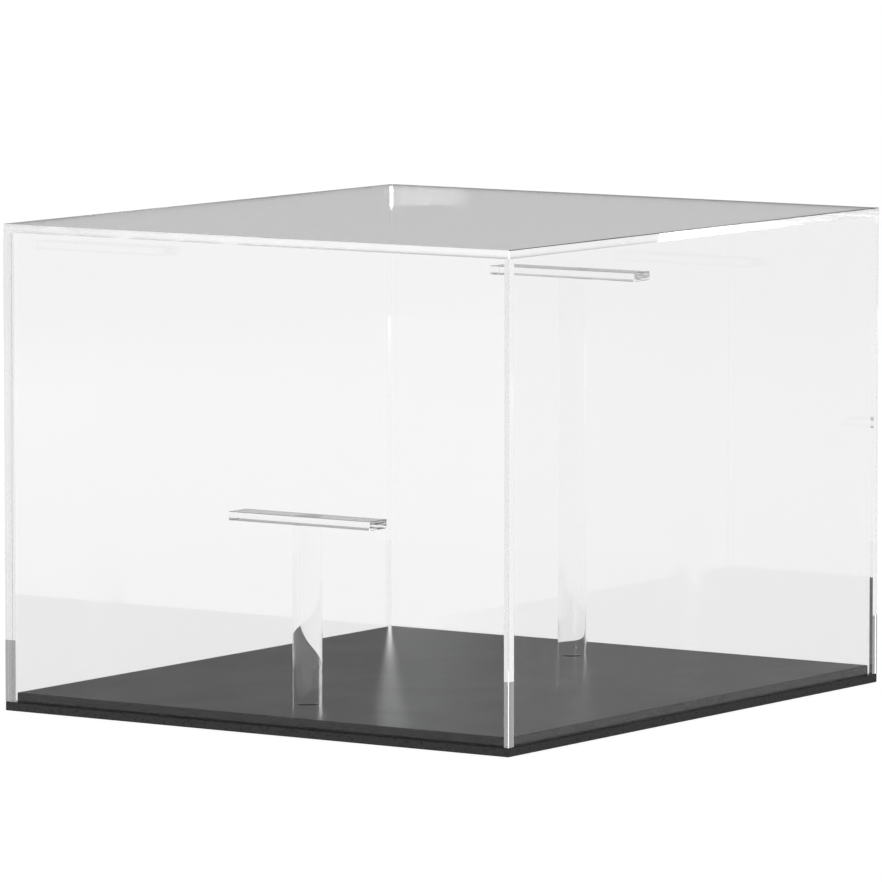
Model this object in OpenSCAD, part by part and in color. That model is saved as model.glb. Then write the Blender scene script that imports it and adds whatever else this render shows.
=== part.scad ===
// Tabletop display case for a cap or a ball.
// A clear box of five cemented sheets lifts straight off a stepped black base.
// Inside, a low front post and a tall rear post each carry a flat rest bar.
// The origin is the centre of the base's underside: +X right, +Y back, +Z up.

/* [Case] */
// Overall width, left to right
case_w = 267; // [200:1:400]
// Overall depth, front to back
case_d = 299; // [230:1:450]
// Overall height, from the table to the top of the cover
case_h = 215; // [175:1:400]

/* [Sheets] */
// Thickness of the clear sheet that the cover is made of
cover_t = 4; // [3:0.5:8]
// Thickness of the base plate that carries the cover's rim
base_t = 4; // [3:0.5:10]
// Thickness of the locating plate that the cover drops over
locator_t = 4; // [3:0.5:10]
// Gap on every side between the locating plate and the cover's walls
cover_gap = 0.4; // [0.2:0.1:2]
// Bevel on the edges of the two black plates
plate_ease = 0.4; // [0.1:0.1:1]

/* [Posts] */
// Diameter of both posts
post_d = 13; // [9:0.5:24]
// Height of the front post above the locating plate
front_post_h = 79; // [40:1:120]
// Free height between the rear rest bar and the cover's top sheet
rear_headroom = 26; // [10:1:60]
// Distance of the front post's axis from the inside of the front wall
front_inset = 39.5; // [15:0.5:80]
// Distance of the rear post's axis from the inside of the back wall
rear_inset = 47.5; // [15:0.5:80]
// Bevel around the bottom of each post
post_ease = 0.4; // [0.1:0.1:1]
// Width of the shoulder around the spigot under each post
shoulder = 2.5; // [1.5:0.5:4]
// Gap all round a spigot in its hole, which the cement fills
cement_gap = 0.1; // [0.05:0.05:0.3]

/* [Rest bars] */
// Length of each rest bar, left to right
rest_l = 75; // [40:1:120]
// Thickness of each rest bar
rest_t = 4; // [3:0.5:8]

/* [Hidden] */

$fn = 96;

// Colours of the two plastics
BLACK = [0.11, 0.11, 0.12];
CLEAR = [0.86, 0.93, 0.96, 0.35];

// Inside of the cover, wall to wall
inner_w = case_w - 2 * cover_t;
inner_d = case_d - 2 * cover_t;

// The locating plate fills the cover, less the gap
locator_w = inner_w - 2 * cover_gap;
locator_d = inner_d - 2 * cover_gap;

// Levels, from the table up
floor_z = base_t + locator_t;
ceiling_z = case_h - cover_t;
wall_h = ceiling_z - base_t;

// Each post stands at its inset from the wall in front of it or behind it
front_y = front_inset - inner_d / 2;
rear_y = inner_d / 2 - rear_inset;
rear_post_h = ceiling_z - rear_headroom - rest_t - floor_z;

// A rest bar is as wide as the post under it
rest_w = post_d;
spigot_d = post_d - 2 * shoulder;

// A rectangle centred on the origin, with its four corners cut at 45 degrees
module eased_outline(w, d, ease) {
    x = w / 2;
    y = d / 2;
    polygon([
        [ease - x, -y], [x - ease, -y], [x, ease - y], [x, y - ease],
        [x - ease, y], [ease - x, y], [-x, y - ease], [-x, ease - y],
    ]);
}

// A flat plate standing on z = 0, with a bevel along all twelve edges
module eased_plate(w, d, t, ease) {
    intersection() {
        linear_extrude(t) eased_outline(w, d, ease);
        translate([0, d / 2, t / 2]) rotate([90, 0, 0])
            linear_extrude(d) eased_outline(w, t, ease);
        translate([-w / 2, 0, t / 2]) rotate([90, 0, 90])
            linear_extrude(w) eased_outline(d, t, ease);
    }
}

// A flat sheet with square edges, centred in X and Y and standing on z = 0
module sheet(w, d, t) {
    translate([-w / 2, -d / 2, 0]) cube([w, d, t]);
}

// The hole through the locating plate that a post's spigot is cemented into
module spigot_hole(y) {
    cut = 1;
    translate([0, y, base_t - cut])
        cylinder(h = locator_t + 2 * cut, d = spigot_d + 2 * cement_gap);
}

// A solid round post with a spigot below, turned in one piece
module post(y, h) {
    r = post_d / 2;
    translate([0, y, 0]) rotate_extrude() polygon([
        [0, base_t], [spigot_d / 2, base_t], [spigot_d / 2, floor_z],
        [r - post_ease, floor_z], [r, floor_z + post_ease],
        [r, floor_z + h], [0, floor_z + h],
    ]);
}

// A rest bar lying across the top of a post
module rest_bar(y, z) {
    translate([0, y, z]) sheet(rest_l, rest_w, rest_t);
}

// Bottom plate, as large as the cover, whose rim it carries
module base_plate() {
    color(BLACK) eased_plate(case_w, case_d, base_t, plate_ease);
}

// Raised plate that keeps the cover in place and holds the posts
module locating_plate() {
    color(BLACK) difference() {
        translate([0, 0, base_t])
            eased_plate(locator_w, locator_d, locator_t, plate_ease);
        spigot_hole(front_y);
        spigot_hole(rear_y);
    }
}

// Low post, under the peak of a cap
module front_post() {
    color(CLEAR) post(front_y, front_post_h);
}

// Tall post, under the crown of a cap
module rear_post() {
    color(CLEAR) post(rear_y, rear_post_h);
}

module front_rest_bar() {
    color(CLEAR) rest_bar(front_y, floor_z + front_post_h);
}

module rear_rest_bar() {
    color(CLEAR) rest_bar(rear_y, floor_z + rear_post_h);
}

// The front and back walls run the full width and cover the side walls' ends
module end_wall(side) {
    translate([0, side * (case_d - cover_t) / 2, base_t])
        sheet(case_w, cover_t, wall_h);
}

// The side walls fit between the front wall and the back wall
module side_wall(side) {
    translate([side * (case_w - cover_t) / 2, 0, base_t])
        sheet(cover_t, inner_d, wall_h);
}

module cover_front() {
    color(CLEAR) end_wall(-1);
}

module cover_back() {
    color(CLEAR) end_wall(1);
}

module cover_left() {
    color(CLEAR) side_wall(-1);
}

module cover_right() {
    color(CLEAR) side_wall(1);
}

// The top sheet lies on all four walls
module cover_top() {
    color(CLEAR) translate([0, 0, ceiling_z]) sheet(case_w, case_d, cover_t);
}

base_plate();
locating_plate();
front_post();
rear_post();
front_rest_bar();
rear_rest_bar();
cover_front();
cover_back();
cover_left();
cover_right();
cover_top();
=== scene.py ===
import math

import bmesh
import bpy
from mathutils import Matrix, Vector


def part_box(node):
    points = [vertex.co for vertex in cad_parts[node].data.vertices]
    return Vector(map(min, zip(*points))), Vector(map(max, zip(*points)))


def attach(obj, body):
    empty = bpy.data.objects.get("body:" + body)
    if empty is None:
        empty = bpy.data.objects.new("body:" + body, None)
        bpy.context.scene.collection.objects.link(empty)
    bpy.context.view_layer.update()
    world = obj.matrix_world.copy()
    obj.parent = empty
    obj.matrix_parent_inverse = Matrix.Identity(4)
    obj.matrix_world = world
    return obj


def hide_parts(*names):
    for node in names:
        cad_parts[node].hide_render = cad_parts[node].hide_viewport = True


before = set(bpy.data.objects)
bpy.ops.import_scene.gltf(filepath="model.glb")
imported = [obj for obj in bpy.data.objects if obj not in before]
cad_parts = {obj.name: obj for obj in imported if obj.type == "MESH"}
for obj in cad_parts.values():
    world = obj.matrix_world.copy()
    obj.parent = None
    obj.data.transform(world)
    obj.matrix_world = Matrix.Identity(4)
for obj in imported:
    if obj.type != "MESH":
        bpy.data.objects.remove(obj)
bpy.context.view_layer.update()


# ---------------------------------------------------------------- camera and studio
# A white light table in a soft grey surround, as clear acrylic is shot. The surround is
# dimmer below the horizon and behind the corner, so that the clear edges stand out, and a
# strip and two boxes pick out the back corner and the posts.
MM = 0.001
CAMERA_AIM = Vector((-2.1, -1.5, 114.4)) * MM
CAMERA_AZIMUTH = math.radians(34.32)
CAMERA_HEIGHT_ANGLE = math.radians(5.79)
CAMERA_DISTANCE = 3.727
CAMERA_LENS = 341.84
FAR_CLIP = 100.0
INNER_BOUNCES = 64
TABLE_SIZE = 60.0
TABLE_DROP = 0.5 * MM
TABLE_GLOW = 0.96
BOX_LIFT = 0.07
# Light levels of the surround: from the camera's side, 0, round to the far side, 1, and from
# straight down, 0, past the horizon, 0.5, to overhead, 1.
WALL_LEVELS = [(0.3, 0.5), (0.72, 0.5), (0.85, 0.25), (0.94, 0.45)]
HEIGHT_LEVELS = [(0.49, 0.25), (0.51, 1.0), (0.555, 1.0), (0.65, 0.2), (0.85, 0.3), (0.975, 1.2)]


def add_to_scene(obj):
    """Links a new object to the scene and hands it back."""
    bpy.context.scene.collection.objects.link(obj)
    return obj


def hex_colour(code):
    """An sRGB hex colour as linear RGBA."""
    values = []
    for k in (0, 2, 4):
        c = int(code[k:k + 2], 16) / 255.0
        values.append(c / 12.92 if c <= 0.04045 else ((c + 0.055) / 1.055) ** 2.4)
    return (*values, 1.0)


def add_node(tree, kind, settings=None, **inputs):
    """Adds a node. An input given as a socket is linked, anything else is its value."""
    node = tree.nodes.new(kind)
    for name, value in (settings or {}).items():
        setattr(node, name, value)
    for name, value in inputs.items():
        key = int(name[1:]) if name[0] == "i" and name[1:].isdigit() else name.replace("_", " ")
        if isinstance(value, bpy.types.NodeSocket):
            tree.links.new(value, node.inputs[key])
        else:
            node.inputs[key].default_value = value
    return node


def set_ramp(node, stops):
    """Sets a colour ramp's stops, each a position and a grey level or a hex colour."""
    elements = node.color_ramp.elements
    while len(elements) < len(stops):
        elements.new(0.5)
    for element, (position, level) in zip(elements, stops):
        element.position = position
        element.color = hex_colour(level) if isinstance(level, str) else (level, level, level, 1)


toward_camera = Vector((
    math.sin(CAMERA_AZIMUTH) * math.cos(CAMERA_HEIGHT_ANGLE),
    -math.cos(CAMERA_AZIMUTH) * math.cos(CAMERA_HEIGHT_ANGLE),
    math.sin(CAMERA_HEIGHT_ANGLE),
))
camera = add_to_scene(bpy.data.objects.new("camera", bpy.data.cameras.new("camera")))
camera.location = CAMERA_AIM + toward_camera * CAMERA_DISTANCE
camera.rotation_mode = "QUATERNION"
camera.rotation_quaternion = (-toward_camera).to_track_quat("-Z", "Y")
camera.data.lens = CAMERA_LENS
camera.data.clip_end = FAR_CLIP
scene = bpy.context.scene
scene.camera = camera
scene.view_settings.view_transform = "Standard"

# Light runs down inside the sheets by many inner reflections before it leaves an edge.
for limit in (
    "max_bounces", "glossy_bounces", "transmission_bounces", "transparent_max_bounces",
):
    setattr(scene.cycles, limit, INNER_BOUNCES)

world = bpy.data.worlds.new("soft studio")
world.use_nodes = True
scene.world = world
sky = world.node_tree
direction = add_node(sky, "ShaderNodeTexCoord").outputs["Generated"]
behind = add_node(sky, "ShaderNodeVectorMath", {"operation": "DOT_PRODUCT"}, i0=direction,
                  i1=(-math.sin(CAMERA_AZIMUTH), math.cos(CAMERA_AZIMUTH), 0.0)).outputs["Value"]
around = add_node(sky, "ShaderNodeMapRange", i0=behind, i1=-1.0, i2=1.0)
wall_glow = add_node(sky, "ShaderNodeValToRGB", Fac=around.outputs[0])
set_ramp(wall_glow, WALL_LEVELS)
# It is dim below the horizon, full just above it, low higher up and bright overhead.
upward = add_node(sky, "ShaderNodeSeparateXYZ", Vector=direction).outputs["Z"]
up_the_wall = add_node(sky, "ShaderNodeMapRange", i0=upward, i1=-1.0, i2=1.0)
fade = add_node(sky, "ShaderNodeValToRGB", Fac=up_the_wall.outputs[0])
set_ramp(fade, HEIGHT_LEVELS)
surround = add_node(sky, "ShaderNodeMix", {"data_type": "RGBA", "blend_type": "MULTIPLY"}, i0=1.0,
                    i6=wall_glow.outputs["Color"], i7=fade.outputs["Color"])
sky.links.new(surround.outputs[2], sky.nodes["Background"].inputs["Color"])

table_mesh = bpy.data.meshes.new("light_table")
half = TABLE_SIZE / 2
table_mesh.from_pydata(
    [(-half, -half, -TABLE_DROP), (half, -half, -TABLE_DROP),
     (half, half, -TABLE_DROP), (-half, half, -TABLE_DROP)],
    [], [(0, 1, 2, 3)])
table = add_to_scene(bpy.data.objects.new("light_table", table_mesh))
# Opal acrylic, lit evenly from below: the floor glows white and takes no hard shadow. It is
# kept out of reflections, which would veil the clear sheets.
table_finish = bpy.data.materials.new("opal light table")
table_finish.use_nodes = True
opal = table_finish.node_tree.nodes["Principled BSDF"]
opal.inputs["Base Color"].default_value = hex_colour("7C7C7C")
opal.inputs["Roughness"].default_value = 1.0
opal.inputs["Specular IOR Level"].default_value = 0.0
opal.inputs["Emission Color"].default_value = hex_colour("FFFFFF")
opal.inputs["Emission Strength"].default_value = TABLE_GLOW
table_mesh.materials.append(table_finish)
table.visible_glossy = False


def add_softbox(name, width, height, middle, glow, aim):
    """A soft light of even radiance `glow`, facing a point and not seen itself."""
    data = bpy.data.lights.new(name, "AREA")
    data.shape = "RECTANGLE"
    data.size = width
    data.size_y = height
    data.energy = glow * math.pi * width * height
    light = add_to_scene(bpy.data.objects.new(name, data))
    light.location = middle
    light.rotation_mode = "QUATERNION"
    light.rotation_quaternion = (aim - middle).to_track_quat("-Z", "Y")
    light.visible_camera = False


# A narrow strip stands in line with the back corner of the case, to make the cemented corner
# shine. Two wider boxes stand behind, off to the sides, and draw the posts' bright outlines.
# Each has its size and its place on the table, in metres, and its radiance.
for name, width, height, place, glow in (
    ("corner strip", 0.10, 0.27, (-1.156, -1.335), 11.0),
    ("left rim box", 0.85, 0.80, (-1.68, 0.64), 2.4),
    ("right rim box", 0.45, 0.80, (0.40, 1.76), 2.8),
):
    middle = Vector((*place, BOX_LIFT + height / 2))
    add_softbox(name, width, height, middle, glow, Vector((0, 0, middle.z)))


# ---------------------------------------------------------------- base and locating plates
# Two plates of 4 mm black cast acrylic, sawn to size and solvent-bonded. The upper one is
# smaller, so the cover's rim drops round it. The CAD plates keep their 0.4 mm bevels.
ACRYLIC_INDEX = 1.49
FACE_SHINE = 0.5
BUFFED_SHINE = 0.15
FACE_ROUGHNESS = (0.31, 0.35)
EDGE_ROUGHNESS = (0.25, 0.4)
WIPE_SIZE = 45 * MM
BLADE_SPACING = 1.2 * MM
DYE_CLOUD_SIZE = 80 * MM


def acrylic_material(name):
    """A new node material of acrylic's own index, with its tree and its shader."""
    material = bpy.data.materials.new(name)
    material.use_nodes = True
    tree = material.node_tree
    shader = tree.nodes["Principled BSDF"]
    shader.inputs["IOR"].default_value = ACRYLIC_INDEX
    return material, tree, shader


def black_cast_acrylic(name, edge_tones, edge_shine):
    """Cast acrylic, opaque black, with one finish on its faces and another on its edges.

    The faces come straight from the casting glass and are wiped by hand, so they smear what
    they reflect. The edges keep the fine lines of the blade, so they are duller.
    """
    material, tree, shader = acrylic_material(name)
    place = add_node(tree, "ShaderNodeTexCoord").outputs["Object"]
    facing = add_node(tree, "ShaderNodeNewGeometry").outputs["True Normal"]
    upright = add_node(tree, "ShaderNodeSeparateXYZ", Vector=facing).outputs["Z"]
    is_face = add_node(tree, "ShaderNodeMath", {"operation": "ABSOLUTE"}, i0=upright).outputs[0]
    wipe_marks = add_node(tree, "ShaderNodeTexNoise", Vector=place, Scale=1 / WIPE_SIZE, Detail=2.0,
                          Roughness=0.5, Distortion=0.8)
    face_gloss = add_node(tree, "ShaderNodeMapRange", i0=wipe_marks.outputs["Fac"], i1=0.3,
                          i2=0.7, i3=FACE_ROUGHNESS[0], i4=FACE_ROUGHNESS[1])
    # Blade lines are 0.1 mm apart, drawn here 1.2 mm apart so that they show.
    blade_lines = add_node(tree, "ShaderNodeTexNoise", Vector=place, Scale=1 / BLADE_SPACING,
                           Detail=2.0)
    edge_gloss = add_node(tree, "ShaderNodeMapRange", i0=blade_lines.outputs["Fac"], i1=0.3,
                          i2=0.7, i3=EDGE_ROUGHNESS[0], i4=EDGE_ROUGHNESS[1])
    gloss = add_node(tree, "ShaderNodeMix", {"data_type": "FLOAT"}, i0=is_face,
                     i2=edge_gloss.outputs[0], i3=face_gloss.outputs[0])
    tree.links.new(gloss.outputs[0], shader.inputs["Roughness"])
    shader.inputs["Specular IOR Level"].default_value = FACE_SHINE
    if edge_shine != FACE_SHINE:
        shine = add_node(tree, "ShaderNodeMapRange", i0=is_face, i3=edge_shine, i4=FACE_SHINE)
        tree.links.new(shine.outputs[0], shader.inputs["Specular IOR Level"])
    edge_tone = add_node(tree, "ShaderNodeValToRGB", Fac=blade_lines.outputs["Fac"])
    set_ramp(edge_tone, [(0.35, edge_tones[0]), (0.65, edge_tones[1])])
    dye_cloud = add_node(tree, "ShaderNodeTexNoise", Vector=place, Scale=1 / DYE_CLOUD_SIZE,
                         Detail=2.0)
    dye = add_node(tree, "ShaderNodeValToRGB", Fac=dye_cloud.outputs["Fac"])
    set_ramp(dye, [(0.35, "0B0B0C"), (0.65, "101011")])
    tone = add_node(tree, "ShaderNodeMix", {"data_type": "RGBA"}, i0=is_face,
                    i6=edge_tone.outputs["Color"], i7=dye.outputs["Color"])
    tree.links.new(tone.outputs[2], shader.inputs["Base Color"])
    return material


# Sawn and scraped edge: dull, a little greyer than the face.
sawn_black = black_cast_acrylic("black cast acrylic, scraped edge", ("38383A", "404042"),
                                FACE_SHINE)
# Routed and buffed edge: darker, since the buffing closes the skin.
buffed_black = black_cast_acrylic("black cast acrylic, buffed edge", ("0E0E0F", "161617"),
                                  BUFFED_SHINE)
for node, finish in (("base_plate", sawn_black), ("locating_plate", buffed_black)):
    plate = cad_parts[node].data
    plate.materials.clear()
    plate.materials.append(finish)


# ---------------------------------------------------------------- posts
# Two clear extruded acrylic rods, 13 mm across, turned square at both ends and polished
# along their length. Each stands on the locating plate, its 8 mm spigot cemented in a hole.
POST_SIDES = 160
POST_ARRIS = 0.05 * MM
POST_CREASE = math.radians(30)
SPIGOT_RADIUS = 4.0 * MM
FOOT_LIFT = 0.02 * MM
CEMENTED_FOOT = 1
LATHE_RADIUS = 0.1 * MM
SAME_POINT = 0.002 * MM
ROD_INDEX = 1.16
WAVE_DEPTH = 0.1 * MM
WELD_CELL = 9 * MM
BUBBLE_RADIUS = 0.27 * MM


def clear_material(name, tint, haze, haze_size, wave_size, wave_strength, stretch):
    """Clear acrylic with faint polishing haze and the slight waviness of its making.

    The haze is the lowest and highest roughness, and both patterns are stretched alike.
    """
    material, tree, shader = acrylic_material(name)
    shader.inputs["Base Color"].default_value = hex_colour(tint)
    shader.inputs["Transmission Weight"].default_value = 1.0
    place = add_node(tree, "ShaderNodeTexCoord").outputs["Object"]
    along = add_node(tree, "ShaderNodeMapping", Vector=place, Scale=stretch).outputs[0]
    cloud = add_node(tree, "ShaderNodeTexNoise", Vector=along, Scale=1 / haze_size, Detail=3.0)
    rough = add_node(tree, "ShaderNodeMapRange", i0=cloud.outputs["Fac"], i1=0.45, i2=0.75,
                     i3=haze[0], i4=haze[1])
    tree.links.new(rough.outputs[0], shader.inputs["Roughness"])
    draw = add_node(tree, "ShaderNodeTexNoise", Vector=along, Scale=1 / wave_size, Detail=1.0)
    wave = add_node(tree, "ShaderNodeBump", Strength=wave_strength, Distance=WAVE_DEPTH,
                    Height=draw.outputs["Fac"])
    tree.links.new(wave.outputs["Normal"], shader.inputs["Normal"])
    return material


# Polished rod: clear to the core, with the faintest draw lines along it. It bends what is
# behind it only a little, so its index is set well under the 1.49 of a solid acrylic lens,
# and a skin of full index on it gives the bright reflections of polished acrylic.
clear_rod = clear_material("clear acrylic rod, polished", "FDFDFD", haze=(0.0, 0.01),
                           haze_size=4 * MM, wave_size=6 * MM, wave_strength=0.004,
                           stretch=(1.0, 1.0, 0.02))
rod_shader = clear_rod.node_tree.nodes["Principled BSDF"]
rod_shader.inputs["IOR"].default_value = ROD_INDEX
rod_shader.inputs["Coat Weight"].default_value = 1.0
rod_shader.inputs["Coat Roughness"].default_value = 0.0
rod_shader.inputs["Coat IOR"].default_value = ACRYLIC_INDEX

# Solvent weld: the two parts melt into one, so light goes straight through it, but for a
# few pinhead bubbles of trapped air, half a millimetre across.
weld = bpy.data.materials.new("solvent weld in clear acrylic")
weld.use_nodes = True
tree = weld.node_tree
tree.nodes.remove(tree.nodes["Principled BSDF"])
place = add_node(tree, "ShaderNodeTexCoord").outputs["Object"]
cells = add_node(tree, "ShaderNodeTexVoronoi", Vector=place, Scale=1 / WELD_CELL)
bubble = add_node(tree, "ShaderNodeMath", {"operation": "LESS_THAN"},
                  i0=cells.outputs["Distance"], i1=BUBBLE_RADIUS / WELD_CELL)
clear = add_node(tree, "ShaderNodeBsdfTransparent")
air = add_node(tree, "ShaderNodeBsdfTransparent", Color=hex_colour("D8D8D8"))
joint = add_node(tree, "ShaderNodeMixShader", i0=bubble.outputs[0], i1=clear.outputs[0],
                 i2=air.outputs[0])
tree.links.new(joint.outputs[0], tree.nodes["Material Output"].inputs["Surface"])


def socket_name(tree, name):
    """The identifier of a named input of a Geometry Nodes tree."""
    for item in tree.interface.items_tree:
        if item.name == name and item.in_out == "INPUT":
            return item.identifier
    raise KeyError(name)


# The tree turns a half section, drawn as a line of edges, round the upright axis.
turning = bpy.data.node_groups.new("turned post", "GeometryNodeTree")
turning.interface.new_socket("Geometry", in_out="INPUT", socket_type="NodeSocketGeometry")
turning.interface.new_socket("Sides", in_out="INPUT", socket_type="NodeSocketInt")
turning.interface.new_socket("Finish", in_out="INPUT", socket_type="NodeSocketMaterial")
turning.interface.new_socket("Geometry", in_out="OUTPUT", socket_type="NodeSocketGeometry")
given = turning.nodes.new("NodeGroupInput").outputs
path = add_node(turning, "GeometryNodeCurvePrimitiveCircle", Resolution=given["Sides"],
                Radius=LATHE_RADIUS)
section = add_node(turning, "GeometryNodeMeshToCurve", Mesh=given["Geometry"])
swept = add_node(turning, "GeometryNodeCurveToMesh", Curve=path.outputs["Curve"],
                 Profile_Curve=section.outputs["Curve"])
welded = add_node(turning, "GeometryNodeMergeByDistance", Geometry=swept.outputs["Mesh"],
                  Distance=SAME_POINT)
real = add_node(turning, "GeometryNodeRealizeInstances", Geometry=welded.outputs["Geometry"])
finished = add_node(turning, "GeometryNodeSetMaterial", Geometry=real.outputs["Geometry"],
                    Material=given["Finish"])
add_node(turning, "NodeGroupOutput", Geometry=finished.outputs["Geometry"])


def make_real(obj):
    """Swaps an object for a plain mesh of its evaluated shape."""
    graph = bpy.context.evaluated_depsgraph_get()
    mesh = bpy.data.meshes.new_from_object(obj.evaluated_get(graph))
    mesh.name = obj.name
    for modifier in list(obj.modifiers):
        obj.modifiers.remove(modifier)
    obj.data = mesh
    return mesh


def tidy_mesh(mesh, smooth_angle):
    """Faces outward, soft shading on the curves and crisp arrises."""
    bm = bmesh.new()
    bm.from_mesh(mesh)
    bmesh.ops.recalc_face_normals(bm, faces=bm.faces)
    for face in bm.faces:
        face.smooth = True
    for edge in bm.edges:
        edge.smooth = edge.calc_face_angle(math.pi) < smooth_angle
    bm.to_mesh(mesh)
    bm.free()


for node in ("front_post", "rear_post"):
    low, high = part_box(node)
    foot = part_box("locating_plate")[1].z + FOOT_LIFT
    head = high.z - FOOT_LIFT
    radius = (high.x - low.x) / 2
    centre = (low + high) / 2
    tip = low.z + FOOT_LIFT
    outline = [(0, tip), (SPIGOT_RADIUS, tip), (SPIGOT_RADIUS, foot),
               (radius - POST_ARRIS, foot), (radius, foot + POST_ARRIS),
               (radius, head - POST_ARRIS), (radius - POST_ARRIS, head), (0, head)]
    # The section lies flat, its height down -Y, which the sweep turns upright.
    mesh = bpy.data.meshes.new(node + "_section")
    mesh.from_pydata([(r - LATHE_RADIUS, -z, 0) for r, z in outline],
                     [(k, k + 1) for k in range(len(outline) - 1)], [])
    post = add_to_scene(bpy.data.objects.new("clear_" + node, mesh))
    lathe = post.modifiers.new("turned post", "NODES")
    lathe.node_group = turning
    lathe[socket_name(turning, "Sides")] = POST_SIDES
    lathe[socket_name(turning, "Finish")] = clear_rod
    mesh = make_real(post)
    for vertex in mesh.vertices:
        vertex.co.x += centre.x
        vertex.co.y += centre.y
    tidy_mesh(mesh, POST_CREASE)
    # The foot and the spigot are cemented, so light passes them without a glint.
    mesh.materials.append(weld)
    for face in mesh.polygons:
        if face.center.z < foot + FOOT_LIFT:
            face.material_index = CEMENTED_FOOT
    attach(post, "base")
    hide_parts(node)


# ---------------------------------------------------------------- rest bars
# Two short bars of 4 mm clear cast acrylic, edges diamond-polished, one cemented across the
# top of each post. The hat or ball that is shown rests on them.
BAR_ARRIS = 0.2 * MM
IN_PLANE = 0.01 * MM


def sheet_piece(name, low, high, arris, finish, flush=()):
    """A flat sheet between two corners, its arrises taken off with a narrow bevel.

    An edge that lies in a flush plane, given as an axis and a place on it, stays sharp.
    """
    bm = bmesh.new()
    bmesh.ops.create_cube(bm, size=1.0)
    for vertex in bm.verts:
        for k in range(3):
            vertex.co[k] = low[k] + (vertex.co[k] + 0.5) * (high[k] - low[k])

    def lies_in(item, axis, at):
        return all(abs(vertex.co[axis] - at) < IN_PLANE for vertex in item.verts)

    open_edges = [edge for edge in bm.edges if not any(lies_in(edge, *plane) for plane in flush)]
    if open_edges:
        bmesh.ops.bevel(bm, geom=open_edges, offset=arris, segments=1, affect="EDGES")
    bmesh.ops.recalc_face_normals(bm, faces=bm.faces)
    mesh = bpy.data.meshes.new(name)
    mesh.materials.append(finish)
    bm.to_mesh(mesh)
    bm.free()
    return add_to_scene(bpy.data.objects.new(name, mesh))


# Polished bar: as clear as the rods, and a trace of polishing haze along its edges.
clear_bar = clear_material("clear acrylic bar, diamond polished", "FDFDFD", haze=(0.0, 0.01),
                           haze_size=6 * MM, wave_size=12 * MM, wave_strength=0.003,
                           stretch=(0.3, 1.0, 1.0))

for node in ("front_rest_bar", "rear_rest_bar"):
    low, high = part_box(node)
    low.z += FOOT_LIFT
    bar = sheet_piece("clear_" + node, low, high, BAR_ARRIS, clear_bar)
    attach(bar, "base")
    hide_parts(node)


# ---------------------------------------------------------------- cover
# Five sheets of 4 mm clear cast acrylic, edges machined and polished, butted and run with
# solvent cement. Front and back run full width, the sides stand between them, top on all.
COVER_ARRIS = 0.22 * MM
CEMENT_LINE = 0.05 * MM
RIM_LIFT = 0.02 * MM
FLAT_ON = 0.99
CAST_FACE, CUT_EDGE, CEMENTED = 0, 1, 2

# Cast face: optically clear, with hardly a trace of wiping haze.
clear_sheet = clear_material("clear cast acrylic sheet, cast face", "FAFAFA",
                             haze=(0.0, 0.01), haze_size=60 * MM, wave_size=90 * MM,
                             wave_strength=0.01, stretch=(1.0, 1.0, 1.0))
# Polished edge: gathers the light that runs inside the sheet, so it shines white.
clear_edge = clear_material("clear cast acrylic sheet, polished edge", "FEFEFE",
                            haze=(0.0, 0.01), haze_size=10 * MM, wave_size=30 * MM,
                            wave_strength=0.001, stretch=(1.0, 1.0, 0.3))
# Machined edge of the top: a satin skin that mixes all the light inside the sheet.
satin_edge = clear_material("clear cast acrylic sheet, machined edge", "FEFEFE",
                            haze=(0.07, 0.09), haze_size=3 * MM, wave_size=30 * MM,
                            wave_strength=0.001, stretch=(0.3, 0.3, 1.0))

inner_low = Vector((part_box("cover_left")[1].x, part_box("cover_front")[1].y, 0))
inner_high = Vector((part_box("cover_right")[0].x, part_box("cover_back")[0].y, 0))


def cut_along_walls(bm):
    """Cuts the underside of the top along the walls' inner faces, where the cement ends."""
    for axis in (0, 1):
        for at in (inner_low[axis], inner_high[axis]):
            under = [face for face in bm.faces if face.normal.z < -FLAT_ON]
            edges = dict.fromkeys(edge for face in under for edge in face.edges)
            points = dict.fromkeys(point for face in under for point in face.verts)
            across = Vector((0, 0, 0))
            across[axis] = 1.0
            bmesh.ops.bisect_plane(bm, geom=[*under, *edges, *points], plane_co=across * at,
                                   plane_no=across)


for node in ("cover_front", "cover_back", "cover_left", "cover_right", "cover_top"):
    low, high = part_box(node)
    is_top = node == "cover_top"
    # Bonded edges and the rim stay sharp. The rim stops just short of the base plate.
    flush = [(2, low.z)]
    if not is_top:
        low.z += RIM_LIFT
        flush = [(2, low.z), (2, high.z)]
    if node == "cover_front":
        flush.append((1, high.y))
    if node == "cover_back":
        flush.append((1, low.y))
    if node in ("cover_left", "cover_right"):
        low.y += CEMENT_LINE
        high.y -= CEMENT_LINE
        flush += [(1, low.y), (1, high.y)]
    sheet = sheet_piece("clear_" + node, low, high, COVER_ARRIS, clear_sheet, flush)
    mesh = sheet.data
    mesh.materials.append(satin_edge if is_top else clear_edge)
    mesh.materials.append(weld)
    thin = min(range(3), key=lambda k: high[k] - low[k])
    bm = bmesh.new()
    bm.from_mesh(mesh)
    if is_top:
        cut_along_walls(bm)
    for face in bm.faces:
        middle = face.calc_center_median()
        inside = all(inner_low[k] < middle[k] < inner_high[k] for k in (0, 1))
        if is_top and face.normal.z < -FLAT_ON and not inside:
            face.material_index = CEMENTED
        elif not is_top and face.normal.z > FLAT_ON:
            face.material_index = CEMENTED
        elif abs(face.normal[thin]) < FLAT_ON:
            face.material_index = CUT_EDGE
        else:
            face.material_index = CAST_FACE
    bm.to_mesh(mesh)
    bm.free()
    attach(sheet, "cover")
    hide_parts(node)
